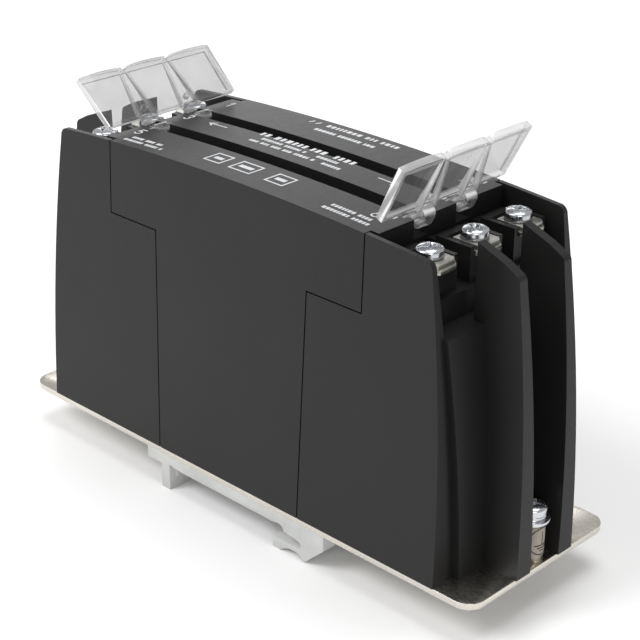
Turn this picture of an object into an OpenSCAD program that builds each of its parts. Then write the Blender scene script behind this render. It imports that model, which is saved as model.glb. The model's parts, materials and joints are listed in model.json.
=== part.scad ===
// Book-style three-phase mains filter on a metal base plate, with a clip foot for a 35 mm rail.
// X runs along the filter from the line end (-X) to the load end (+X), Z is up, millimetres.
// The origin is at the middle of the underside of the clip foot.

/* [Housing] */
// Width across the housing where it meets the base plate
body_w = 45; // [44.6:0.1:45.4]
// Width across the housing at its top
body_top_w = 40.2; // [40:0.1:41]
// Height of the housing above the base plate
body_h = 68.4; // [68.2:0.1:69]
// Half-length of the side walls at the base plate
wall_end = 58.4; // [58:0.1:58.8]
// Half-length of the fins between the wire bays at the base plate
fin_end = 68.3; // [68:0.1:69]
// Radius of the arched top
top_r = 692; // [600:10:900]
// Radius of the drawn-in ends of the side walls and fins
end_r = 400; // [380:10:460]
// Wall thickness of the moulded shells
wall_t = 2.2; // [1.8:0.1:2.4]
// Gap at the seams between the mouldings
seam_gap = 0.3; // [0.15:0.05:0.35]

/* [Top strips] */
// Reach of the three raised strips at the load end
strip_end = 38.7; // [38:0.1:38.7]
// Reach of the strips at the line end, where their tops overhang the decks
strip_line_end = 39.8; // [38.8:0.1:39.8]
// Distance of each groove from the middle
groove_y = 6.2; // [6:0.1:6.4]
// Width of each groove
groove_w = 4.2; // [4:0.1:4.4]
// Depth of the grooves below the middle of the top
groove_depth = 5.2; // [4:0.1:5.6]

/* [Wire bays] */
// Distance of each fin from the middle
fin_y = 6.7; // [6.5:0.05:6.9]
// Fin thickness at the base plate
fin_t = 4.3; // [3.8:0.1:4.6]
// Fin thickness at the top
fin_top_t = 2; // [1.8:0.1:2.4]
// Half the clear width between the side walls at the base plate
bay_y = 16.4; // [16:0.1:16.8]
// Half the clear width between the side walls at the top
bay_top_y = 19.1; // [19:0.05:19.2]
// Half-length of the closed front below the terminals, at the base plate
front_end = 60.1; // [59.8:0.1:60.4]

/* [Terminals] */
// Spacing of the terminals across the housing
pitch = 13.24; // [13:0.02:13.3]
// Distance of the terminal screws from the middle
term_x = 46.9; // [46.7:0.1:47.1]
// Radius of the screw heads
head_r = 2.8; // [2.6:0.1:2.9]
// Height of the screw heads
head_h = 2.3; // [2:0.1:2.4]
// Radius of the screw shanks
shank_r = 1.45; // [1.4:0.01:1.47]

/* [Clear covers] */
// Half-width of each cover at its free edge
cover_y = 18.7; // [18.4:0.1:18.7]
// How much narrower each half is at the inner edge
cover_flare = 0.5; // [0:0.1:0.8]
// Length of each cover from its inner edge to its free edge
cover_l = 13.1; // [12.6:0.1:13.2]
// Distance from the pivot to the cover's inner edge
cover_reach = 3.6; // [3.4:0.1:3.8]
// Opening of the cover at the load end, from closed
load_open = 63; // [0:1:100]
// Opening of the cover at the line end, from closed
line_open = 42; // [0:1:100]

/* [Base plate] */
// Length of the plate
plate_l = 135.8; // [134:0.2:136.4]
// Width of the plate
plate_w = 44.6; // [44:0.2:45]
// Thickness of the plate
plate_t = 1.4; // [1.2:0.1:1.6]
// Radius of the plate's corners
plate_r = 4; // [3:0.5:5]
// Distance of the earth post from the middle
earth_x = 64.7; // [64.4:0.1:64.7]

/* [Rail foot] */
// Depth of the foot below the top of the base plate
foot_h = 10; // [10:0.1:10.4]
// Clear width of the foot between its two jaws, for a rail 35 mm wide
rail_gap = 36; // [35.6:0.1:36.2]

/* [Hidden] */
$fn = 48;
top_z0 = foot_h;
pivot_x = 36.6;
pivot_z = 66.9;
pivot_r = 0.6;
running_gap = 0.05;
contact_gap = 0.02;
deck_z = 62.8;
deck_y = 4.7;
overhang_z = 64.4;
bar_top = 62.9;
bar_t = 1;
clamp_t = 0.9;
step_z = 56.6;
step_x = 51.3;
box_z = 51.3;
arm_z = 51.2;
stem_x = 21.4;
stem_top_x = 22.3;
arm_x = 36.9;
front_r = 330;
end_z = 3;
fin_start = 53.8;
board_z = 47.4;
board_t = 1.6;
leg_x = 43.5;
bar_y = 3.6;
capacitor_x = 35;
resistor_y = 8;
boss_x = 44;
boss_y = 16.6;
foot_rivet_x = -5;
foot_rivet_y = 12;
strap_x = 20.5;
strap_rivet_x = 25;
post_h = 9;
washer_t = 0.6;
lock_t = 0.8;
seat_z = -4;
jaw_x = -18.7;
choke_low = 8;
choke_high = 24;

// Points of an arc about c, from angle a0 to a1
function arc(c, r, a0, a1, n = 6) =
    [for (i = [0:n]) c + r * [cos(a0 + (a1 - a0) * i / n), sin(a0 + (a1 - a0) * i / n)]];

// Height of the arched top at distance x from the middle
function arch(x) = body_h - top_r + sqrt(top_r * top_r - x * x);

// Reach at height z of an end that bulges with radius r and reaches e at the base plate
function reach(e, r, z) = e - r + sqrt(r * r - (z - end_z) * (z - end_z));

// Points up one bulging end, from height z0 to z1
function end_points(e, r, z0, z1, n = 12) =
    [for (i = [0:n]) let (z = z0 + (z1 - z0) * i / n) [reach(e, r, z), z]];

// Points along the arched top, from x0 to x1
function arch_points(x0, x1, n = 8) =
    [for (i = [0:n]) let (x = x0 + (x1 - x0) * i / n) [x, arch(x)]];

// Lifts what is drawn from the top of the base plate into place
module raised() {
    translate([0, 0, top_z0]) children();
}

// The same at the line end, as a mirror image of the load end
module at_line_end() {
    raised() mirror([1, 0, 0]) children();
}

// Extrudes an outline of X and Z across the width w, centred
module across(w) {
    rotate([90, 0, 0]) linear_extrude(height = w, center = true) children();
}

// A long prism whose half-width goes from y0 at the base plate to y1 at the top of the housing
module tapered(y0, y1) {
    slope = (y1 - y0) / body_h;
    low = -2;
    high = body_h + 6;
    rotate([90, 0, 90]) linear_extrude(height = 160, center = true)
        polygon([
            [-y0 - slope * low, low], [y0 + slope * low, low],
            [y0 + slope * high, high], [-y0 - slope * high, high]
        ]);
}

module at_terminals() {
    for (i = [-1:1]) translate([term_x, i * pitch, 0]) children();
}

module at_grooves() {
    for (s = [-1, 1]) translate([0, s * groove_y, 0]) children();
}

// ---- mouldings ----

module centre_cover() {
    inner_x = arm_x - 1.7;
    half = [
        [stem_x - seam_gap / 2, 0], [stem_top_x - seam_gap / 2, arm_z + seam_gap / 2],
        [arm_x - seam_gap / 2, arm_z + seam_gap / 2]
    ];
    left = [for (p = [2:-1:0]) [-half[p].x, half[p].y]];
    color("#2b2b2d") raised() difference() {
        union() {
            intersection() {
                across(60) polygon(concat(half, arch_points(half[2].x, -half[2].x, 16), left));
                tapered(body_w / 2, body_top_w / 2);
            }
            intersection() {
                across(36.4)
                    polygon(concat(
                        [[-strip_end, step_z + seam_gap], [strip_end, step_z + seam_gap]],
                        arch_points(strip_end, -strip_line_end, 16),
                        [[-strip_line_end, overhang_z], [-strip_end, overhang_z]]
                    ));
                tapered(body_w / 2, body_top_w / 2);
            }
        }
        intersection() {
            translate([-inner_x, -30, -1]) cube([2 * inner_x, 60, body_h - groove_depth - 0.7]);
            tapered(body_w / 2 - wall_t, body_top_w / 2 - wall_t);
        }
        intersection() {
            translate([-40, -30, -1]) cube([80, 60, arm_z + 1]);
            tapered(body_w / 2 - wall_t, body_top_w / 2 - wall_t);
        }
        at_grooves() translate([-40, -groove_w / 2, body_h - groove_depth]) cube([80, groove_w, 10]);
        for (s = [-1, 1]) at_grooves() translate([s * pivot_x, 0, pivot_z]) rotate([90, 0, 0])
            cylinder(h = groove_w + 2.2, r = pivot_r + running_gap, center = true);
    }
}

// Side wall outline of an end housing
module wall_outline() {
    corner_r = 1.8;
    corner_x = 51.7;
    corner_z = arch(corner_x) - corner_r;
    polygon(concat(
        [[stem_x + seam_gap / 2, 0]],
        end_points(wall_end, end_r, 0, corner_z),
        arc([reach(wall_end, end_r, corner_z) - corner_r, corner_z], corner_r, 10, 80),
        [for (x = [corner_x - 1:-2:arm_x + 1]) [x, arch(x)]],
        [[arm_x + seam_gap / 2, arch(arm_x)], [arm_x + seam_gap / 2, arm_z - seam_gap / 2]],
        [[stem_top_x + seam_gap / 2, arm_z - seam_gap / 2]]
    ));
}

// Closed front with its two steps
module front_outline() {
    polygon(concat(
        [[stem_x + seam_gap / 2, 0]],
        end_points(front_end, front_r, 0, box_z),
        [[step_x, box_z], [step_x, step_z], [arm_x + seam_gap / 2, step_z]],
        [[arm_x + seam_gap / 2, arm_z - seam_gap / 2], [stem_top_x + seam_gap / 2, arm_z - seam_gap / 2]]
    ));
}

// Fin between two wire bays
module fin_outline() {
    nose_z = 61.4;
    polygon(concat(
        end_points(fin_end, end_r, 0, nose_z - 1),
        arc([reach(fin_end, end_r, nose_z) - 1.6, nose_z + 0.2], 1.6, 5, 62),
        [[60.2, 64.6], [fin_start, 67], [fin_start, box_z - 1], [fin_start, 0]]
    ));
}

module fins() {
    slope = (fin_top_t - fin_t) / 2 / body_h;
    for (s = [-1, 1]) intersection() {
        across(60) fin_outline();
        translate([60, s * fin_y, 0]) rotate([90, 0, 90]) linear_extrude(height = 60, center = true)
            polygon([
                [-fin_t / 2, 0], [fin_t / 2, 0],
                [fin_top_t / 2, body_h], [-fin_top_t / 2, body_h]
            ]);
    }
}

// Deck under one terminal, drawn about the terminal screw
module deck() {
    rim_h = 1;
    translate([39 - term_x, -deck_y, step_z - 1]) cube([10.8, 2 * deck_y, deck_z - step_z + 1]);
    // rim beside the clamp, short of the cover's arms
    translate([41.2 - term_x, -deck_y, deck_z - 1]) cube([8.6, 2 * deck_y, rim_h + 1]);
}

// Room in a deck for the bar, its leg, the nut and the screw tip
module deck_room() {
    translate([leg_x - 0.55 - term_x, -bar_y - 0.05, bar_top - bar_t - contact_gap])
        cube([20, 2 * bar_y + 0.1, 5]);
    translate([-2.85, -2.85, bar_top - bar_t - 2]) cube([5.7, 5.7, 5]);
    translate([0, 0, step_z - 0.4]) cylinder(h = 8, r = shank_r + 0.3);
    translate([leg_x - 0.6 - term_x, -2.1, board_z]) cube([1.2, 4.2, 20]);
}

module housing_bosses() {
    for (s = [-1, 1]) {
        translate([boss_x, s * boss_y, 0]) cylinder(h = 12, r = 3);
        translate([boss_x - 1, s * 19 - 2, 0]) cube([2, 4, 12]);
    }
}

module end_housing() {
    cavity_end = wall_end - wall_t;
    difference() {
        union() {
            difference() {
                intersection() {
                    across(60) wall_outline();
                    tapered(body_w / 2, body_top_w / 2);
                }
                tapered(bay_y, bay_top_y);
            }
            intersection() {
                across(60) front_outline();
                tapered(bay_y + 0.2, bay_top_y + 0.2);
            }
            fins();
            at_terminals() deck();
        }
        intersection() {
            across(60) polygon(concat(
                [[20, -1], [cavity_end, -1]],
                end_points(cavity_end, end_r, 0, box_z - wall_t),
                [[step_x - 2, box_z - wall_t], [step_x - 2, step_z - wall_t], [20, step_z - wall_t]]
            ));
            tapered(body_w / 2 - wall_t, body_top_w / 2 - wall_t);
        }
        at_terminals() deck_room();
    }
    difference() {
        housing_bosses();
        for (s = [-1, 1]) translate([boss_x, s * boss_y, -1]) cylinder(h = 11, r = 1.2);
    }
}

module line_housing() {
    color("#2b2b2d") at_line_end() end_housing();
}

module load_housing() {
    color("#2b2b2d") raised() end_housing();
}

// ---- clear covers, drawn closed about the pivot ----

// Plan of a cover: three windows whose free edges bow out a little, with notches between them
module cover_plan() {
    far = cover_reach + cover_l;
    hinge_y = cover_y - cover_flare;
    notch = 0.5;
    notch_y = 0.7;
    bow = 0.35;
    inner = groove_y - notch_y;
    outer = groove_y + notch_y;
    edges = [-cover_y, -outer, -inner, inner, outer, cover_y];
    function window(a, b) = [
        for (i = [0:8]) let (u = i / 8) [far - bow + bow * 4 * u * (1 - u), a + (b - a) * u]
    ];
    polygon(concat(
        [[cover_reach, -hinge_y]],
        window(edges[0], edges[1]), [[far - notch - bow, edges[1]], [far - notch - bow, edges[2]]],
        window(edges[2], edges[3]), [[far - notch - bow, edges[3]], [far - notch - bow, edges[4]]],
        window(edges[4], edges[5]),
        [[cover_reach, hinge_y]]
    ));
}

// One of the two ribs beside a groove line: deep at the hinge, shallow where they meet at the free edge
module cover_rib() {
    far = cover_reach + cover_l;
    depth = 2;
    intersection() {
        translate([0, 0, -3]) linear_extrude(height = 3)
            polygon([[cover_reach, 1.95], [far - 0.7, 0.45], [far - 0.7, 1.05], [cover_reach, 2.65]]);
        across(8) polygon([[0, 0], [0, -depth], [cover_reach + 1.5, -depth], [far, -0.7], [far, 0]]);
    }
}

// Strip bent to a U that joins the plate's inner edge to the knuckle
module cover_arm() {
    arm_w = 3.2;
    across(arm_w) polygon(concat(
        [[4.05, 0]], arc([2.25, -1.6], 1.8, 0, -90), arc([0.9, -1.9], 1.5, -90, -180), [[-0.6, 0]],
        [[0.3, 0]], arc([0.9, -1.9], 0.6, -180, -90), arc([2.25, -1.6], 0.9, -90, 0), [[3.15, 0]]
    ));
}

module cover() {
    far = cover_reach + cover_l;
    hinge_y = cover_y - cover_flare;
    plate_half = 0.5;
    rim_depth = 1.1;
    rim_w = 0.9;
    difference() {
        translate([0, 0, -rim_depth]) linear_extrude(height = rim_depth + plate_half) cover_plan();
        translate([0, 0, -3]) linear_extrude(height = 3 - plate_half) polygon([
            [cover_reach + rim_w, -hinge_y + rim_w], [far - 1.3, -cover_y + rim_w],
            [far - 1.3, cover_y - rim_w], [cover_reach + rim_w, hinge_y - rim_w]
        ]);
    }
    at_grooves() {
        for (m = [0, 1]) mirror([0, m, 0]) cover_rib();
        translate([cover_reach + 2.6, 0, -1.6]) cylinder(h = 1.6, r = 0.7, $fn = 32);
        cover_arm();
        // knuckle, with trunnions in the groove walls
        rotate([90, 0, 0]) cylinder(h = groove_w + 1.9, r = pivot_r, center = true);
        rotate([90, 0, 0]) cylinder(h = groove_w - 0.7, r = 1.15, center = true);
    }
}

module placed_cover(open) {
    translate([pivot_x, 0, pivot_z]) rotate([0, -open, 0]) cover();
}

module line_cover() {
    color("#dfe6ea", 0.4) at_line_end() placed_cover(line_open);
}

module load_cover() {
    color("#dfe6ea", 0.4) raised() placed_cover(load_open);
}

// ---- terminals ----

// Bar that carries the wire clamp on top and ends in a leg and solder tail
module bar() {
    out_x = 51.6 - term_x;
    in_x = leg_x - 0.5 - term_x;
    bevel = 1.4;
    difference() {
        translate([0, 0, bar_top - bar_t]) linear_extrude(height = bar_t)
            polygon([
                [in_x, -bar_y], [out_x - bevel, -bar_y], [out_x, -bar_y + bevel],
                [out_x, bar_y - bevel], [out_x - bevel, bar_y], [in_x, bar_y]
            ]);
        translate([0, 0, bar_top - 2]) cylinder(h = 3, r = shank_r + 0.15);
    }
    translate([in_x, -2, board_z + board_t]) cube([1, 4, bar_top - bar_t - board_z - board_t + 0.1]);
    translate([in_x, -1.2, board_z - 0.6]) cube([1, 2.4, 3]);
}

module nut() {
    translate([0, 0, bar_top - bar_t - 1.8 - contact_gap]) difference() {
        translate([-2.75, -2.75, 0]) cube([5.5, 5.5, 1.8]);
        translate([0, 0, -1]) cylinder(h = 4, r = shank_r + running_gap);
    }
}

module clamp() {
    difference() {
        translate([0, 0, bar_top + contact_gap]) linear_extrude(height = clamp_t) polygon([
            [-2.9, -3.1], [3.4, -3.1], [4.2, -2.3], [4.2, 2.3], [3.4, 3.1], [-2.9, 3.1]
        ]);
        translate([0, 0, bar_top - 1]) cylinder(h = 4, r = shank_r + running_gap);
    }
}

// Pan-head screw with a cross recess and a slot, standing on z = 0
module pan_screw(length) {
    crown = 0.9;
    difference() {
        rotate_extrude() polygon(concat(
            [[0, -length], [shank_r - 0.35, -length], [shank_r, -length + 0.5], [shank_r, 0]],
            [[head_r - 0.15, 0], [head_r, 0.2], [head_r, head_h - crown]],
            [for (i = [1:6]) [head_r * cos(i * 15), head_h - crown + crown * sin(i * 15)]]
        ));
        for (a = [0, 90]) rotate([0, 0, a])
            translate([-1.6, -0.36, head_h - 1.1]) cube([3.2, 0.72, 3]);
        translate([-4, -0.3, head_h - 0.55]) cube([8, 0.6, 3]);
        translate([0, 0, head_h - 1.2]) cylinder(h = 3, r1 = 0.5, r2 = 1.9, $fn = 32);
    }
}

module terminal_screw(turn) {
    translate([0, 0, bar_top + clamp_t + 2 * contact_gap]) rotate([0, 0, turn]) pan_screw(6);
}

module line_bars() {
    color("#d9dad6") at_line_end() at_terminals() bar();
}

module load_bars() {
    color("#d9dad6") raised() at_terminals() bar();
}

module line_nuts() {
    color("#b9bcc0") at_line_end() at_terminals() nut();
}

module load_nuts() {
    color("#b9bcc0") raised() at_terminals() nut();
}

module clamp_at(s, i) {
    color("#c8c9c5") raised() translate([s * term_x, (i - 2) * pitch, 0])
        mirror([s < 0 ? 1 : 0, 0, 0]) clamp();
}

module screw_at(s, i, turn) {
    color("#c9ccd0") raised() translate([s * term_x, (i - 2) * pitch, 0]) terminal_screw(turn);
}

// ---- earth terminal ----

module earth_post() {
    color("#d8d2bd") raised() translate([earth_x, 0, 0]) difference() {
        union() {
            cylinder(h = post_h, r = 2.5);
            translate([0, 0, -plate_t]) cylinder(h = plate_t + 1, r = 1.8);
        }
        translate([0, 0, 1]) cylinder(h = 20, r = shank_r + running_gap);
    }
}

module earth_label() {
    color("#e9e6d8") raised() translate([earth_x, 0, 1.6]) rotate([0, 0, -130])
        rotate_extrude(angle = 200) translate([2.5 + contact_gap, 0]) square([0.15, 6.6]);
}

module earth_washer() {
    color("#c9ccd0") raised() translate([earth_x, 0, post_h + contact_gap]) difference() {
        cylinder(h = washer_t, r = 3.5);
        translate([0, 0, -1]) cylinder(h = 4, r = shank_r + running_gap);
    }
}

module earth_lock_washer() {
    color("#b9bcc0") raised() translate([earth_x, 0, post_h + washer_t + 2 * contact_gap]) difference() {
        cylinder(h = lock_t, r = 2.7);
        translate([0, 0, -1]) cylinder(h = 4, r = shank_r + running_gap);
        rotate([0, 0, -70]) translate([0, -0.2, -1]) cube([5, 0.4, 4]);
    }
}

module earth_screw() {
    color("#c9ccd0") raised()
        translate([earth_x, 0, post_h + washer_t + lock_t + 3 * contact_gap]) rotate([0, 0, 20]) pan_screw(7);
}

// ---- base plate and rail foot ----

module base_plate() {
    color("#c9c5bd") raised() translate([0, 0, -plate_t]) difference() {
        linear_extrude(height = plate_t) {
            square([plate_l - 2 * plate_r, plate_w], center = true);
            square([plate_l, plate_w - 2 * plate_r], center = true);
            for (x = [-1, 1], y = [-1, 1])
                translate([x * (plate_l / 2 - plate_r), y * (plate_w / 2 - plate_r)]) circle(r = plate_r);
        }
        for (x = [-1, 1], y = [-1, 1]) translate([x * boss_x, y * boss_y, 0]) {
            translate([0, 0, -1]) cylinder(h = 4, r = 1.25);
            cylinder(h = 1, r1 = 2.45, r2 = 1.25);
        }
        for (y = [-1, 1]) translate([foot_rivet_x, y * foot_rivet_y, -1]) cylinder(h = 4, r = 1.25);
        translate([strap_rivet_x, 0, -1]) cylinder(h = 4, r = 1.25);
        translate([earth_x, 0, -1]) cylinder(h = 4, r = 1.85);
    }
}

// Clip foot seen along the rail: a fixed jaw at -X and a springy lip at +X
module foot_outline() {
    slot_end = 21.5;
    lip_top = -7.4;
    relief = 0.4;
    rail_x = jaw_x + rail_gap;
    polygon(concat(
        [[-25.9, -plate_t], [-25.9, -4.1], [jaw_x - 2.6, -4.1], [jaw_x - 2.6, -foot_h]],
        [[jaw_x, -foot_h], [jaw_x, seat_z + relief], [jaw_x + 1.2, seat_z + relief], [jaw_x + 1.2, seat_z]],
        [[rail_x - 3.3, seat_z]],
        arc([rail_x - 1.5, seat_z - 1.3], 1.6, 110, 10),
        arc([slot_end, -6.5], 0.9, 80, -90),
        [[14.2, lip_top], [14.2, -foot_h], [16.3, -foot_h], [17.6, -9.1], [19.3, -8.5]],
        arc([20.8, -10.4], 1.9, 90, 35, 4),
        [[22.9, -foot_h], [23.8, -foot_h + 0.4], [28.9, -4.9], [28.9, -plate_t]]
    ));
}

module rail_foot() {
    color("#e4e4e0", 0.85) raised() difference() {
        union() {
            across(plate_w) foot_outline();
            for (y = [-19.4, 0, 19.4]) translate([jaw_x, y, -6.3]) rotate([90, 0, 0])
                cylinder(h = 2.6, r = 0.9, center = true, $fn = 32);
        }
        for (y = [-1, 1]) translate([foot_rivet_x, y * foot_rivet_y, 0]) {
            translate([0, 0, -6]) cylinder(h = 8, r = 1.25);
            translate([0, 0, -6]) cylinder(h = 2.7, r = 2.3);
        }
    }
}

module foot_rivets() {
    color("#b9bcc0") raised() for (y = [-1, 1]) translate([foot_rivet_x, y * foot_rivet_y, 0]) {
        translate([0, 0, -3.9]) cylinder(h = 3.9, r = 1.2);
        translate([0, 0, -3.9]) cylinder(h = 0.6, r = 2.2);
        translate([0, 0, contact_gap]) cylinder(h = 0.8, r1 = 2.2, r2 = 1.4);
        cylinder(h = 0.1, r = 1.2);
    }
}

module housing_screws() {
    color("#b9bcc0") raised() for (x = [-1, 1], y = [-1, 1]) translate([x * boss_x, y * boss_y, 0]) {
        translate([0, 0, -plate_t]) cylinder(h = plate_t + 9, r = 1.15);
        translate([0, 0, -plate_t]) cylinder(h = 1, r1 = 2.4, r2 = 1.2);
    }
}

// ---- inside ----

module insulating_sheet() {
    color("#e8dfc4") raised() difference() {
        translate([-40, -15, contact_gap]) cube([80, 30, 0.4]);
        for (y = [-1, 1]) translate([foot_rivet_x, y * foot_rivet_y, -1]) cylinder(h = 3, r = 2.6);
        translate([strap_x - 1.5, -4.5, -1]) cube([12, 9, 3]);
    }
}

module board_pins(r, z0, z1) {
    for (s = [-1, 1], i = [-1:1], d = [-11, 4.5])
        translate([s * capacitor_x + s * d, i * 11, z0]) cylinder(h = z1 - z0, r = r, $fn = 24);
}

module resistor_pins(r, z0, z1) {
    for (i = [-1:1], x = [-7, 7])
        translate([x, i * resistor_y, z0]) cylinder(h = z1 - z0, r = r, $fn = 24);
}

module earth_capacitor_pins(r, z0, z1) {
    for (x = [-10, 10], y = [-3, 3])
        translate([x, y, z0]) cylinder(h = z1 - z0, r = r, $fn = 24);
}

// Points where the two leads of winding i leave upwards
module winding_leads(i, r, z0, z1) {
    for (d = [-34, 34]) rotate([0, 0, 90 + 120 * i + d])
        translate([15, 0, z0]) cylinder(h = z1 - z0, r = r, $fn = 24);
}

module circuit_board() {
    color("#4d6b3c") raised() difference() {
        translate([-47.5, -17, board_z]) cube([95, 34, board_t]);
        for (s = [0, 1]) mirror([s, 0, 0]) at_terminals()
            translate([leg_x - term_x - 0.6, -1.3, board_z - 1]) cube([1.2, 2.6, 4]);
        board_pins(0.5, board_z - 1, board_z + 4);
        resistor_pins(0.45, board_z - 1, board_z + 4);
        earth_capacitor_pins(0.45, board_z - 1, board_z + 4);
        for (i = [0:2]) winding_leads(i, 0.9, board_z - 1, board_z + 4);
        translate([strap_x - 0.4, -1.3, board_z - 1]) cube([0.8, 2.6, 4]);
    }
}

module choke_core() {
    color("#3a3d40") raised() difference() {
        translate([0, 0, choke_low]) cylinder(h = choke_high - choke_low, r = 16.4);
        translate([0, 0, choke_low - 1]) cylinder(h = choke_high - choke_low + 2, r = 9.2);
    }
}

// Three-armed insulating divider inside the core, standing on three feet
module choke_divider() {
    color("#ece9df") raised() for (i = [0:2]) rotate([0, 0, 30 + 120 * i]) {
        translate([0, -0.8, 0.6]) cube([9, 1.6, choke_high + 2]);
        translate([0, -0.8, 0.6]) cube([16.5, 1.6, choke_low - 0.7]);
    }
}

module choke_winding(i) {
    inner = [9.15, 16.45];
    outer = [7.9, 17.7];
    turns = 9;
    sweep = 76;
    color("#b5713a") raised() {
        rotate([0, 0, 90 + 120 * i - sweep / 2]) rotate_extrude(angle = sweep) difference() {
            translate([outer[0] + 0.6, choke_low - 0.7])
                square([outer[1] - outer[0] - 1.2, choke_high - choke_low + 1.4]);
            translate([inner[0], choke_low - 0.05])
                square([inner[1] - inner[0], choke_high - choke_low + 0.1]);
        }
        for (k = [0:turns - 1]) rotate([0, 0, 90 + 120 * i - 36 + 72 * k / (turns - 1)]) difference() {
            translate([outer[0], -0.55, choke_low - 1.3])
                cube([outer[1] - outer[0], 1.1, choke_high - choke_low + 2.6]);
            translate([inner[0] - 0.15, -2, choke_low - 0.3])
                cube([inner[1] - inner[0] + 0.3, 4, choke_high - choke_low + 0.6]);
        }
        winding_leads(i, 0.8, choke_high + 0.5, board_z + board_t + 0.8);
    }
}

module phase_capacitors() {
    top = board_z - 1;
    for (i = [-1:1]) translate([capacitor_x - 13, i * 11 - 4.6, top - 17]) cube([26, 9.2, 17]);
    for (i = [-1:1], d = [-11, 4.5])
        translate([capacitor_x + d, i * 11, top - 1]) cylinder(h = board_t + 2.8, r = 0.4, $fn = 24);
}

module line_capacitors() {
    color("#d8b64a") at_line_end() phase_capacitors();
}

module load_capacitors() {
    color("#d8b64a") raised() phase_capacitors();
}

module earth_capacitors() {
    color("#4a6fa5") raised() {
        for (x = [-10, 10]) translate([x - 2.5, -6, board_z - 11]) cube([5, 12, 10]);
        earth_capacitor_pins(0.35, board_z - 2, board_z + board_t + 0.8);
    }
}

module bleed_resistors() {
    lead_z = board_z + board_t + 2.2;
    color("#c9b08a") raised() {
        for (i = [-1:1]) translate([0, i * resistor_y, lead_z]) rotate([0, 90, 0]) {
            cylinder(h = 9, r = 1.6, center = true);
            cylinder(h = 14.7, r = 0.35, center = true, $fn = 24);
        }
        resistor_pins(0.35, board_z - 0.8, lead_z);
    }
}

module earth_strap() {
    color("#c8c9c5") raised() difference() {
        union() {
            translate([strap_x - 0.3, -3, contact_gap]) cube([0.6, 6, board_z - 0.2]);
            translate([strap_x - 0.3, -1.2, board_z - 1]) cube([0.6, 2.4, board_t + 1.8]);
            translate([strap_x - 0.3, -3, contact_gap]) cube([8, 6, 0.6]);
        }
        translate([strap_rivet_x, 0, -1]) cylinder(h = 4, r = 1.25);
    }
}

module earth_strap_rivet() {
    color("#b9bcc0") raised() translate([strap_rivet_x, 0, 0]) {
        translate([0, 0, -plate_t]) cylinder(h = plate_t + 1, r = 1.2);
        translate([0, 0, 0.6 + 2 * contact_gap]) cylinder(h = 0.8, r1 = 2.2, r2 = 1.4);
    }
}

base_plate();
centre_cover();
line_housing();
load_housing();
line_cover();
load_cover();
line_bars();
load_bars();
line_nuts();
load_nuts();
clamp_at(-1, 1);  // line_clamp_1
clamp_at(-1, 2);  // line_clamp_2
clamp_at(-1, 3);  // line_clamp_3
clamp_at(1, 1);  // load_clamp_1
clamp_at(1, 2);  // load_clamp_2
clamp_at(1, 3);  // load_clamp_3
screw_at(-1, 1, 15);  // line_screw_1
screw_at(-1, 2, 70);  // line_screw_2
screw_at(-1, 3, 130);  // line_screw_3
screw_at(1, 1, 50);  // load_screw_1
screw_at(1, 2, 100);  // load_screw_2
screw_at(1, 3, 20);  // load_screw_3
earth_post();
earth_label();
earth_washer();
earth_lock_washer();
earth_screw();
rail_foot();
foot_rivets();
housing_screws();
insulating_sheet();
circuit_board();
choke_core();
choke_divider();
choke_winding(0);  // choke_winding_1
choke_winding(1);  // choke_winding_2
choke_winding(2);  // choke_winding_3
line_capacitors();
load_capacitors();
earth_capacitors();
bleed_resistors();
earth_strap();
earth_strap_rivet();
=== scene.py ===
"""Looks of the book-style mains filter: finishes, printed marks, studio and camera."""
import json
import math
import random

import bmesh
import bpy
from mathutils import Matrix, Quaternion, Vector


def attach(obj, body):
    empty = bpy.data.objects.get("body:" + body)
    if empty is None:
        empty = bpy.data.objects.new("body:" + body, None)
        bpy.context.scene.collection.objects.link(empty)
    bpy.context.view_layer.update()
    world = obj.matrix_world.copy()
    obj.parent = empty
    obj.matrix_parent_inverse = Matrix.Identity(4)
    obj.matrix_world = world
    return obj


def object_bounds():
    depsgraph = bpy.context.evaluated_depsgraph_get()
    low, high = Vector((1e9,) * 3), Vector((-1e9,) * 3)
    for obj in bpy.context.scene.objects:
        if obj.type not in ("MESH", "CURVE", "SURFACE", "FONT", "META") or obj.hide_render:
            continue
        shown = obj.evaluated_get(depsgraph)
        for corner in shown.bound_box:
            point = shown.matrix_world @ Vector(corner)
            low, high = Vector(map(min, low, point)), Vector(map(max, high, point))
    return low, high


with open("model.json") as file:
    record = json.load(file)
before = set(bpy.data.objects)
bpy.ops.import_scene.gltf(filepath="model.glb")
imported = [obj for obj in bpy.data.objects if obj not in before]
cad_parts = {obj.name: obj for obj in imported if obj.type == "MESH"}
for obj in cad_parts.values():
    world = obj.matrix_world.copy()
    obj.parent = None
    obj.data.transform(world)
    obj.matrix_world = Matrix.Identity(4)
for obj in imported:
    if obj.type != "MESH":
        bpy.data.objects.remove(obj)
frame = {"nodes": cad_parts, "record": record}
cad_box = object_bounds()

MM = 0.001
nodes = frame["nodes"]

# Millimetres of the shared frame
HINGE_X = 36.6
HINGE_Z = 76.9
BODY_TOP = 78.4
TOP_RADIUS = 692.0
POST_X = 64.7
LABEL_RADIUS = 2.69
INK_GAP = 0.005
INK = 0.02


# ---- node helpers ----

def new_material(name):
    """A material with its node tree and its Principled shader."""
    material = bpy.data.materials.new(name)
    material.use_nodes = True
    tree = material.node_tree
    return material, tree, tree.nodes["Principled BSDF"]


def put(tree, kind, **inputs):
    """A node of that kind, with input sockets set by name (spaces as underscores)."""
    made = tree.nodes.new(kind)
    for key, value in inputs.items():
        made.inputs[key.replace("_", " ")].default_value = value
    return made


def surface_point(tree, stretch=(1, 1, 1)):
    """Object coordinates, stretched along the axes."""
    where = tree.nodes.new("ShaderNodeTexCoord")
    mapping = put(tree, "ShaderNodeMapping", Scale=stretch)
    tree.links.new(where.outputs["Object"], mapping.inputs["Vector"])
    return mapping.outputs["Vector"]


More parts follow.
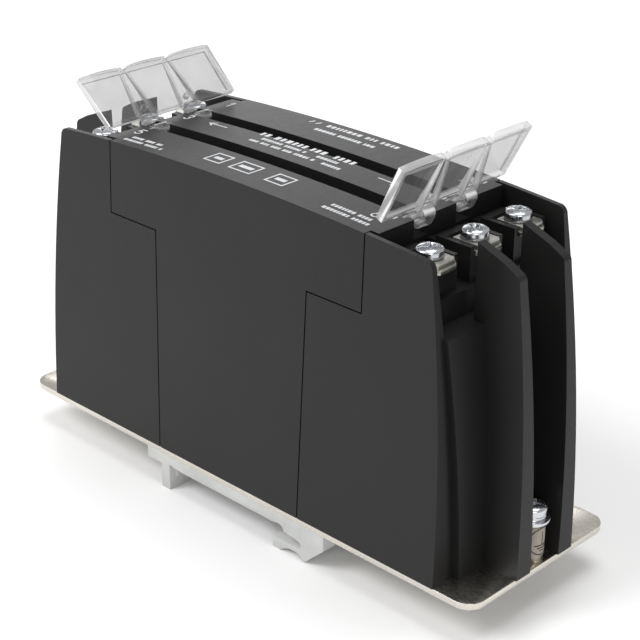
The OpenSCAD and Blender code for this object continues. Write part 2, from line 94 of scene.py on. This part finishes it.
def noise(tree, point, scale, detail=2.0, rough=0.5):
    made = put(tree, "ShaderNodeTexNoise", Scale=scale, Detail=detail, Roughness=rough)
    tree.links.new(point, made.inputs["Vector"])
    return made.outputs["Fac"]


def remap(tree, value, low, high, start=0.3, end=0.7):
    made = put(tree, "ShaderNodeMapRange", From_Min=start, From_Max=end, To_Min=low, To_Max=high)
    tree.links.new(value, made.inputs["Value"])
    return made.outputs["Result"]


def blend_colours(tree, value, first, second, start=0.35, end=0.65):
    ramp = tree.nodes.new("ShaderNodeValToRGB")
    ramp.color_ramp.elements[0].position = start
    ramp.color_ramp.elements[0].color = (*first, 1)
    ramp.color_ramp.elements[1].position = end
    ramp.color_ramp.elements[1].color = (*second, 1)
    tree.links.new(value, ramp.inputs["Fac"])
    return ramp.outputs["Color"]


def bump(tree, shader, height, distance, strength=1.0):
    made = put(tree, "ShaderNodeBump", Strength=strength, Distance=distance)
    tree.links.new(height, made.inputs["Height"])
    tree.links.new(made.outputs["Normal"], shader.inputs["Normal"])


# ---- finishes ----

def moulded(name, dark, light, roughness, grain_mm, grain_depth, **sockets):
    """Moulded plastic: faint colour drift, spark-eroded grain and uneven gloss."""
    material, tree, shader = new_material(name)
    point = surface_point(tree)
    drift = noise(tree, point, 45.0, 3.0)
    grain = noise(tree, point, 1 / (grain_mm * MM), 2.0)
    tree.links.new(blend_colours(tree, drift, dark, light), shader.inputs["Base Color"])
    tree.links.new(
        remap(tree, noise(tree, point, 900.0, 3.0), roughness - 0.02, roughness + 0.02),
        shader.inputs["Roughness"],
    )
    bump(tree, shader, grain, grain_depth * MM, 0.5)
    for key, value in sockets.items():
        shader.inputs[key.replace("_", " ")].default_value = value
    return material


def metal(name, dark, light, roughness, stretch, scratch_mm, depth):
    """Bare or plated metal with rolling or turning marks along one direction."""
    material, tree, shader = new_material(name)
    point = surface_point(tree, stretch)
    marks = noise(tree, point, 1 / (scratch_mm * MM), 4.0, 0.65)
    stain = noise(tree, surface_point(tree), 90.0, 4.0, 0.6)
    tree.links.new(blend_colours(tree, stain, dark, light), shader.inputs["Base Color"])
    tree.links.new(remap(tree, marks, roughness - 0.08, roughness + 0.1), shader.inputs["Roughness"])
    shader.inputs["Metallic"].default_value = 1.0
    bump(tree, shader, marks, depth * MM, 0.6)
    return material


def combine(tree, operation, *values):
    """A maths node over values that are sockets or plain numbers."""
    made = tree.nodes.new("ShaderNodeMath")
    made.operation = operation
    for socket, value in zip(made.inputs, values):
        if isinstance(value, (int, float)):
            socket.default_value = value
        else:
            tree.links.new(value, socket)
    return made.outputs[0]


def dot(tree, vector, direction):
    made = tree.nodes.new("ShaderNodeVectorMath")
    made.operation = "DOT_PRODUCT"
    made.inputs[1].default_value = direction
    tree.links.new(vector, made.inputs[0])
    return made.outputs["Value"]


def clear_plastic(name, outward, tilt):
    """Clear moulded plastic: plate faces with a faint haze, rims and bevels painted paler and less clear as a
    painted highlight, clearer arms by the hinge.

    outward is the side the cover lies on, along X, and tilt its opening in degrees as drawn.
    """
    arms_end = 3.3 * MM
    plate_start = 3.7 * MM
    material, tree, shader = new_material(name)
    where = tree.nodes.new("ShaderNodeTexCoord")
    along = Vector((outward * math.cos(math.radians(tilt)), 0, math.sin(math.radians(tilt))))
    across = Vector((-along.z, 0, along.x))
    hinge = Vector((outward * HINGE_X, 0, HINGE_Z)) * MM
    reach = combine(tree, "SUBTRACT", dot(tree, where.outputs["Object"], along), hinge.dot(along))
    face = combine(tree, "ABSOLUTE", dot(tree, where.outputs["Normal"], across))
    side = remap(tree, face, 1.0, 0.0, 0.1, 0.4)
    line = combine(
        tree, "MULTIPLY", remap(tree, face, 0.0, 1.0, 0.1, 0.4), remap(tree, face, 1.0, 0.0, 0.85, 0.98))
    plate = remap(tree, reach, 0.0, 1.0, arms_end, plate_start)
    waves = noise(tree, surface_point(tree), 150.0, 2.0)
    haze = remap(tree, waves, 0.3, 0.35)
    skin = combine(tree, "MULTIPLY", combine(tree, "MULTIPLY_ADD", plate, 0.6, 0.4), haze)
    strength = combine(tree, "MULTIPLY_ADD", plate, 0.7, 0.3)
    # Rim faces (side) and bevel lines (line) are made more opaque: part of the painted highlight where the
    # edges catch light.
    edge_highlight_alpha = combine(tree, "ADD", combine(tree, "MULTIPLY", side, 0.12), combine(tree, "MULTIPLY", line, 0.6))
    tree.links.new(combine(tree, "MULTIPLY_ADD", edge_highlight_alpha, strength, skin), shader.inputs["Alpha"])
    # Base colour runs from the grey haze to near white on the rims and bevels: a painted highlight.
    painted_edge_highlight = combine(tree, "MAXIMUM", combine(tree, "MULTIPLY", side, 0.6), line)
    tint = blend_colours(tree, painted_edge_highlight, (0.17, 0.17, 0.172), (0.94, 0.94, 0.95), 0.0, 1.0)
    tree.links.new(tint, shader.inputs["Base Color"])
    tree.links.new(remap(tree, waves, 0.05, 0.1), shader.inputs["Roughness"])
    bump(tree, shader, waves, 0.02 * MM, 0.3)
    return material


def milky_plastic(name):
    """Natural translucent plastic: light passes, shapes behind don't show."""
    material, tree, shader = new_material(name)
    point = surface_point(tree)
    cloud = noise(tree, point, 160.0, 3.0)
    tint = blend_colours(tree, cloud, (0.66, 0.67, 0.65), (0.76, 0.77, 0.75))
    tree.links.new(tint, shader.inputs["Base Color"])
    tree.links.new(remap(tree, cloud, 0.28, 0.4), shader.inputs["Roughness"])
    shader.inputs["Transmission Weight"].default_value = 0.35
    shader.inputs["IOR"].default_value = 1.5
    bump(tree, shader, noise(tree, point, 900.0), 0.02 * MM, 0.4)
    return material


finishes = {
    "plate": metal("plate", (0.66, 0.63, 0.57), (0.72, 0.68, 0.62), 0.24, (1, 14, 1), 1.5, 0.003),
    "housing": moulded("housing", (0.0075, 0.0072, 0.007), (0.009, 0.0088, 0.0085), 0.46, 0.35, 0.02,
                       Specular_IOR_Level=0.3),
    "tinned_metal": metal("tinned_metal", (0.38, 0.37, 0.34), (0.52, 0.51, 0.47), 0.38, (3, 1, 1), 0.8, 0.01),
    "zinc": metal("zinc", (0.52, 0.54, 0.57), (0.70, 0.71, 0.73), 0.22, (1, 1, 1), 0.5, 0.01),
    "post": metal("post", (0.36, 0.33, 0.27), (0.46, 0.43, 0.36), 0.34, (1, 1, 12), 0.8, 0.01),
    "label": moulded("label", (0.27, 0.245, 0.20), (0.32, 0.29, 0.24), 0.5, 0.4, 0.01),
    "white_ink": moulded("white_ink", (0.44, 0.45, 0.46), (0.54, 0.55, 0.57), 0.55, 0.2, 0.01),
    "black_ink": moulded("black_ink", (0.012, 0.011, 0.010), (0.02, 0.018, 0.016), 0.5, 0.2, 0.01),
    "foot_plastic": milky_plastic("foot_plastic"),
    "rivet": metal("rivet", (0.52, 0.53, 0.55), (0.66, 0.67, 0.69), 0.35, (1, 1, 1), 0.5, 0.01),
    "insulation": moulded("insulation", (0.62, 0.55, 0.38), (0.72, 0.65, 0.48), 0.7, 0.5, 0.05),
    "board": moulded("board", (0.03, 0.12, 0.03), (0.05, 0.17, 0.05), 0.4, 0.6, 0.02),
    "core": moulded("core", (0.03, 0.035, 0.04), (0.06, 0.065, 0.07), 0.6, 0.4, 0.05),
    "divider": moulded("divider", (0.78, 0.75, 0.66), (0.86, 0.83, 0.75), 0.5, 0.5, 0.02),
    "copper": moulded("copper", (0.42, 0.14, 0.04), (0.55, 0.21, 0.07), 0.25, 0.5, 0.02, Metallic=0.8),
    "film_box": moulded("film_box", (0.62, 0.45, 0.08), (0.72, 0.54, 0.12), 0.35, 0.5, 0.02),
    "ceramic": moulded("ceramic", (0.03, 0.12, 0.36), (0.06, 0.18, 0.45), 0.45, 0.5, 0.03),
    "resistor": moulded("resistor", (0.50, 0.36, 0.20), (0.62, 0.46, 0.28), 0.4, 0.4, 0.02),
}
slots = {row["node"]: row["material_slot"] for row in frame["record"]["subparts"]}
covers = {
    "line_cover": clear_plastic("clear_line_cover", -1, 42),
    "load_cover": clear_plastic("clear_load_cover", 1, 63),
}


def soften(piece, width_mm, faceted):
    """Rounds a piece's hard edges a little, as moulding and stamping do."""
    mesh = piece.data
    if faceted:
        mesh.shade_flat()
    else:
        mesh.shade_smooth()
    weld = piece.modifiers.new("weld", "WELD")
    weld.merge_threshold = 1e-6
    edge = piece.modifiers.new("edge", "BEVEL")
    edge.width = width_mm * MM
    edge.segments = 2
    edge.limit_method = "ANGLE"
    edge.angle_limit = math.radians(30)
    edge.harden_normals = not faceted


SHELLS = ("centre_cover", "line_housing", "load_housing")
FINE_EDGE = 0.06
EDGES = {"centre_cover": 0.3, "line_housing": 0.3, "load_housing": 0.3, "base_plate": 0.12, "rail_foot": 0.2,
         "line_cover": 0.18, "load_cover": 0.18}


def dress_nodes():
    for name, piece in nodes.items():
        piece.data.materials.clear()
        piece.data.materials.append(covers[name] if name in covers else finishes[slots[name]])
        soften(piece, EDGES.get(name, FINE_EDGE), name in SHELLS)


dress_nodes()


# ---- printed marks on the three strips and on the earth post ----

def arch_height(x):
    """Height of the strips' arched top."""
    return BODY_TOP - TOP_RADIUS + math.sqrt(TOP_RADIUS ** 2 - x * x)


def on_strips(x, y, lift):
    return (x * MM, y * MM, (arch_height(x) + lift) * MM)


def on_post(x, z, lift):
    """Wraps a flat mark round the earth post's label: x along the turn from +X, z up."""
    radius = LABEL_RADIUS + lift
    turn = x / radius
    return ((POST_X + radius * math.cos(turn)) * MM, radius * math.sin(turn) * MM, z * MM)


class Print:
    """Thin printed patches gathered into one piece."""

    def __init__(self, wrap):
        self.mesh = bmesh.new()
        self.wrap = wrap

    def patch(self, corners):
        """A thin slab over a flat outline given counter-clockwise."""
        low = [self.mesh.verts.new(self.wrap(x, y, INK_GAP)) for x, y in corners]
        high = [self.mesh.verts.new(self.wrap(x, y, INK_GAP + INK)) for x, y in corners]
        self.mesh.faces.new(high)
        self.mesh.faces.new(list(reversed(low)))
        for i in range(len(corners)):
            j = (i + 1) % len(corners)
            self.mesh.faces.new((low[i], low[j], high[j], high[i]))

    def bar(self, x0, x1, y0, y1, slant=0.0):
        """A bar cut into short cells so that it follows the curved surface."""
        longest = 2.5
        count = max(1, math.ceil((x1 - x0) / longest))
        for i in range(count):
            a = x0 + (x1 - x0) * i / count
            b = x0 + (x1 - x0) * (i + 1) / count
            self.patch([(a, y0), (b, y0), (b + slant, y1), (a + slant, y1)])

    def stroke(self, points, width):
        """A line of constant width through points, one patch to a segment."""
        for (ax, ay), (bx, by) in zip(points, points[1:]):
            length = math.hypot(bx - ax, by - ay)
            ux, uy = (bx - ax) / length * width / 2, (by - ay) / length * width / 2
            self.patch([
                (ax - ux + uy, ay - uy - ux), (bx + ux + uy, by + uy - ux),
                (bx + ux - uy, by + uy + ux), (ax - ux - uy, ay - uy + ux),
            ])

    def piece(self, name, slot):
        data = bpy.data.meshes.new(name)
        self.mesh.to_mesh(data)
        self.mesh.free()
        made = bpy.data.objects.new(name, data)
        bpy.context.scene.collection.objects.link(made)
        data.materials.append(finishes[slot])
        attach(made, "root")


def ring(cx, cy, r, a0, a1, count):
    """Points of an arc about a centre, from angle a0 to a1 in degrees."""
    return [
        (cx + r * math.cos(math.radians(a0 + (a1 - a0) * i / count)),
         cy + r * math.sin(math.radians(a0 + (a1 - a0) * i / count)))
        for i in range(count + 1)
    ]


# Numerals as lines in a cell 1.7 wide and 2.6 high
NUMERALS = {
    "1": [[(0.4, 2.0), (1.0, 2.6), (1.0, 0)]],
    "2": [ring(0.85, 1.75, 0.8, 160, -30, 8) + [(0.05, 0), (1.7, 0)]],
    "3": [ring(0.8, 1.95, 0.65, 150, -90, 8), ring(0.8, 0.65, 0.65, 90, -150, 8)],
    "4": [[(1.25, 0), (1.25, 2.6), (0, 0.8), (1.7, 0.8)]],
    "5": [[(1.5, 2.6), (0.3, 2.6), (0.2, 1.4)] + ring(0.8, 0.8, 0.8, 120, -150, 9)],
    "6": [[(1.4, 2.5), (0.5, 1.8), (0.1, 0.9)], ring(0.85, 0.8, 0.75, 0, 360, 12)],
}


def numeral(ink, digit, x, y):
    for line in NUMERALS[digit]:
        ink.stroke([(x + px, y + py) for px, py in line], 0.36)


def small_print(ink, rng, x0, x1, y, height, gap=0.22):
    """A row of plain blocks of uneven width in place of print; gap is a part of the height."""
    x = x0
    while x < x1 - 0.5:
        for _ in range(rng.randint(3, 8)):
            width = rng.uniform(0.45, 0.85) * height
            if x + width > x1:
                break
            ink.bar(x, x + width, y, y + height)
            x += width + gap * height
        x += 0.7 * height


def strip_marks():
    rng = random.Random(11)
    ink = Print(on_strips)
    for s, digits in ((-1, "531"), (1, "642")):
        for digit, y in zip(digits, (-13.2, 0.9, 13.4)):
            numeral(ink, digit, -37.4 if s < 0 else 31.6, y)
    ink.piece("terminal_numerals", "white_ink")

    ink = Print(on_strips)
    for tail, tip in ((-24.4, -29.6), (20.2, 25.4)):
        back = 1.3 if tip < tail else -1.3
        ink.stroke([(tail, 2.1), (tip, 2.1)], 0.35)
        ink.stroke([(tip + back, 3.0), (tip, 2.1), (tip + back, 1.2)], 0.35)
    ink.piece("end_arrows", "white_ink")

    ink = Print(on_strips)
    for x0, x1, y, height in (
        (-9.6, 7.8, 13.8, 1.1), (-13.1, -0.1, 1.4, 1.0), (3.1, 10.1, 1.4, 1.0), (-14.6, 4.4, -0.8, 1.0),
        (6.6, 12.5, -0.8, 1.0), (-34.8, -25.0, -15.9, 1.0), (-35.4, -23.1, -17.8, 1.0),
        (23.4, 33.9, -15.3, 1.0), (22.8, 35.4, -17.3, 1.0),
    ):
        small_print(ink, rng, x0, x1, y, height)
    ink.piece("small_print_rows", "white_ink")

    ink = Print(on_strips)
    for x0, x1 in ((-15.6, -11.9), (-11.3, -1.7), (-0.7, 3.9), (6.0, 12.6)):
        small_print(ink, rng, x0, x1, 3.4, 1.7, 0.35)
    for x0, x1 in ((-14.2, -13.7), (-12.2, -11.7)):
        ink.bar(x0, x1, 17.0, 18.3, 0.6)
    small_print(ink, rng, -9.0, 12.6, 17.0, 1.3, 0.35)
    ink.piece("large_print_bars", "white_ink")

    ink = Print(on_strips)
    for x0, x1 in ((-12.6, -8.2), (-5.2, 0.6), (5.2, 10.0)):
        frame_line = [(x0, -15.2), (x1, -15.2), (x1, -10.8), (x0, -10.8), (x0, -15.2)]
        ink.stroke(frame_line, 0.4)
        ink.bar(x0 + 1.0, x1 - 1.0, -13.6, -12.4)
    ink.piece("plain_mark_boxes", "white_ink")

    # Three short white dashes by the strips' load ends.
    ink = Print(on_strips)
    for y in (-11.1, 3.3, 15.7):
        ink.bar(35.5, 36.0, y, y + 1.3)
    ink.piece("load_end_white_dashes", "white_ink")


def post_marks():
    ink = Print(on_post)
    middle = 15.0
    ink.stroke(ring(0, middle, 3.05, 0, 360, 80), 0.24)
    ink.stroke([(0, middle + 2.0), (0, middle - 0.9)], 0.2)
    for half, drop in ((1.7, 0.9), (1.1, 1.5), (0.5, 2.1)):
        ink.stroke([(x * half / 6, middle - drop) for x in range(-6, 7)], 0.26)
    ink.piece("earth_symbol", "black_ink")


strip_marks()
post_marks()


# ---- studio and camera ----

def area_light(name, place, aim, size, power):
    data = bpy.data.lights.new(name, "AREA")
    data.shape = "DISK"
    data.size = size
    data.energy = power
    lamp = bpy.data.objects.new(name, data)
    bpy.context.scene.collection.objects.link(lamp)
    lamp.location = place
    lamp.rotation_mode = "QUATERNION"
    lamp.rotation_quaternion = (Vector(aim) - Vector(place)).to_track_quat("-Z", "Y")


def floor():
    mesh = bpy.data.meshes.new("floor")
    half = 3.0
    corners = [(-half, -half, 0), (half, -half, 0), (half, half, 0), (-half, half, 0)]
    mesh.from_pydata(corners, [], [(0, 1, 2, 3)])
    ground = bpy.data.objects.new("floor", mesh)
    bpy.context.scene.collection.objects.link(ground)
    material, tree, shader = new_material("floor")
    tone = noise(tree, surface_point(tree), 3.0)
    tint = blend_colours(tree, tone, (0.79, 0.79, 0.79), (0.81, 0.81, 0.81))
    tree.links.new(tint, shader.inputs["Base Color"])
    shader.inputs["Roughness"].default_value = 0.9
    mesh.materials.append(material)
    ground.location.z = cad_box[0].z


def studio():
    world = bpy.data.worlds.new("studio")
    bpy.context.scene.world = world
    world.use_nodes = True
    sky = world.node_tree.nodes["Background"]
    sky.inputs["Color"].default_value = (1, 1, 1, 1)
    sky.inputs["Strength"].default_value = 0.5
    middle = (cad_box[0] + cad_box[1]) / 2
    area_light("key", middle + Vector((-0.8, -1.5, 1.8)), middle, 1.3, 38)
    area_light("end", middle + Vector((1.6, -1.3, 0.9)), middle, 1.2, 12)
    area_light("back", middle + Vector((-1.5, 1.52, 0.5)), middle, 1.2, 7)
    area_light("top", middle + Vector((0, 0.3, 2.3)), middle, 1.6, 30)
    floor()


def camera():
    """At the reference viewing angle, a long lens just over a third of a metre away."""
    azimuth, elevation, roll = map(math.radians, (43.97, 25.13, 0.39))
    distance = 363.1 * MM
    aim = Vector((6.1 * MM, 0, 42.8 * MM))
    back = Vector((
        math.sin(azimuth) * math.cos(elevation),
        -math.cos(azimuth) * math.cos(elevation),
        math.sin(elevation),
    ))
    data = bpy.data.cameras.new("camera")
    data.sensor_width = 36
    data.lens = 95.91
    data.clip_start = 0.01
    eye = bpy.data.objects.new("camera", data)
    bpy.context.scene.collection.objects.link(eye)
    eye.location = aim + back * distance
    eye.rotation_mode = "QUATERNION"
    eye.rotation_quaternion = (-back).to_track_quat("-Z", "Y") @ Quaternion((0, 0, 1), roll)
    bpy.context.scene.camera = eye


studio()
camera()
bpy.context.scene.view_settings.view_transform = "Standard"
